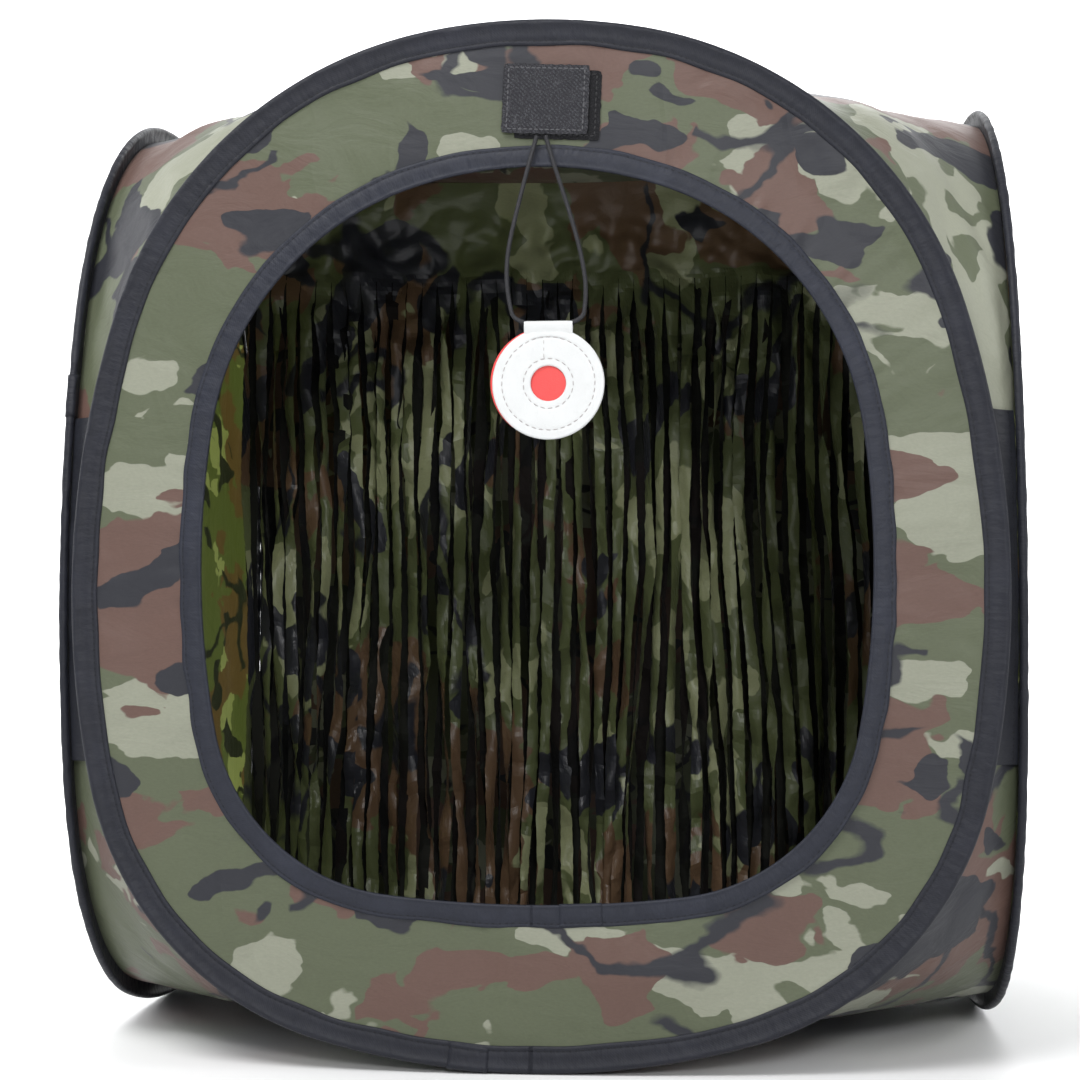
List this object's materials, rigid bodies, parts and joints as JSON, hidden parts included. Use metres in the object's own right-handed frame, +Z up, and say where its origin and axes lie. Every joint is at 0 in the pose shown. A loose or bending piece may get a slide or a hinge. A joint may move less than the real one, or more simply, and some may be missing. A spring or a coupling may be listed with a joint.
{
  "type": "pop-up target catch tent",
  "caption": "Pop-up camouflage catch tent: spring hoops in black sleeves, open front, slit-strip curtain inside and a round target on an elastic cord.",
  "frame": {"origin": "on the ground, in the middle of the floor's underside", "axes": "+X to the right seen from in front of the opening, +Y from the opening to the back, +Z up"},
  "size_m": [0.4824, 0.485, 0.5199],
  "materials": {
    "spring_steel": "satin",
    "ferrule_metal": "satin",
    "black_tape": "matte",
    "binding_tape": "matte",
    "camo_fabric": "satin",
    "curtain_fabric": "satin",
    "hook_and_loop": "matte",
    "elastic_cord": "satin",
    "white_leather": "satin",
    "red_leather": "satin",
    "thread": "matte"
  },
  "bodies": {
    "front": {"front_hoop_wire": "spring_steel", "front_wire_ferrule": "ferrule_metal", "front_hoop_sleeve": "black_tape", "front_panel": "camo_fabric", "opening_binding": "binding_tape", "loop_patch": "hook_and_loop", "front_left_tape": "black_tape", "front_right_tape": "black_tape", "roof_front": "camo_fabric", "floor_front": "camo_fabric"},
    "left": {"left_hoop_wire": "spring_steel", "left_wire_ferrule": "ferrule_metal", "left_hoop_sleeve": "black_tape", "left_panel": "camo_fabric", "back_left_tape": "black_tape"},
    "right": {"right_hoop_wire": "spring_steel", "right_wire_ferrule": "ferrule_metal", "right_hoop_sleeve": "black_tape", "right_panel": "camo_fabric", "back_right_tape": "black_tape"},
    "back": {"back_hoop_wire": "spring_steel", "back_wire_ferrule": "ferrule_metal", "back_hoop_sleeve": "black_tape", "back_panel": "camo_fabric", "roof_rear": "camo_fabric", "floor_rear": "camo_fabric"},
    "curtain": {"curtain_header": "curtain_fabric"},
    "strips": {"front_strips": "curtain_fabric", "rear_strips": "curtain_fabric"},
    "patch": {"hook_patch": "hook_and_loop"},
    "cord_loop": {"target_cord": "elastic_cord"},
    "target": {"target_face": "white_leather", "target_back": "red_leather", "target_stitching": "thread"}
  },
  "joints": [
    {"name": "fold", "type": "hinge", "parent": "front", "child": "left", "pos_m": [-0.235, -0.235, 0.237], "axis": [0, 0, -1], "range_deg": [0, 78], "stiffness_Nm_per_rad": 0.25, "deforming": ["roof_front", "floor_front", "roof_rear", "floor_rear"]},
    {"name": "fold_right", "type": "hinge", "parent": "front", "child": "right", "pos_m": [0.235, -0.235, 0.237], "axis": [0, 0, -1], "range_deg": [0, 78]},
    {"name": "fold_back", "type": "hinge", "parent": "left", "child": "back", "pos_m": [-0.235, 0.235, 0.237], "axis": [0, 0, -1], "range_deg": [-78, 0]},
    {"name": "fold_curtain", "type": "hinge", "parent": "left", "child": "curtain", "pos_m": [-0.235, 0.047, 0.474], "axis": [0, 0, -1], "range_deg": [-78, 0]},
    {"name": "curtain_swing", "type": "hinge", "parent": "curtain", "child": "strips", "pos_m": [0, 0.047, 0.442], "axis": [-1, 0, 0], "range_deg": [-14, 0]},
    {"name": "patch_peel", "type": "slide", "parent": "front", "child": "patch", "axis": [0, -1, 0], "range_m": [0, 0.04]},
    {"name": "target_swing", "type": "hinge", "parent": "patch", "child": "cord_loop", "pos_m": [0.0078, -0.2419, 0.446], "axis": [-1, 0, 0], "range_deg": [-60, 60], "deforming": ["target_cord"]},
    {"name": "target_flip", "type": "hinge", "parent": "cord_loop", "child": "target", "pos_m": [0.0078, -0.2419, 0.3662], "axis": [-1, 0, 0], "range_deg": [-85, 85]}
  ],
  "couplings": [
    {"joint": "fold_right", "follows": "fold", "ratio": 1},
    {"joint": "fold_back", "follows": "fold", "ratio": -1},
    {"joint": "fold_curtain", "follows": "fold", "ratio": -1}
  ]
}
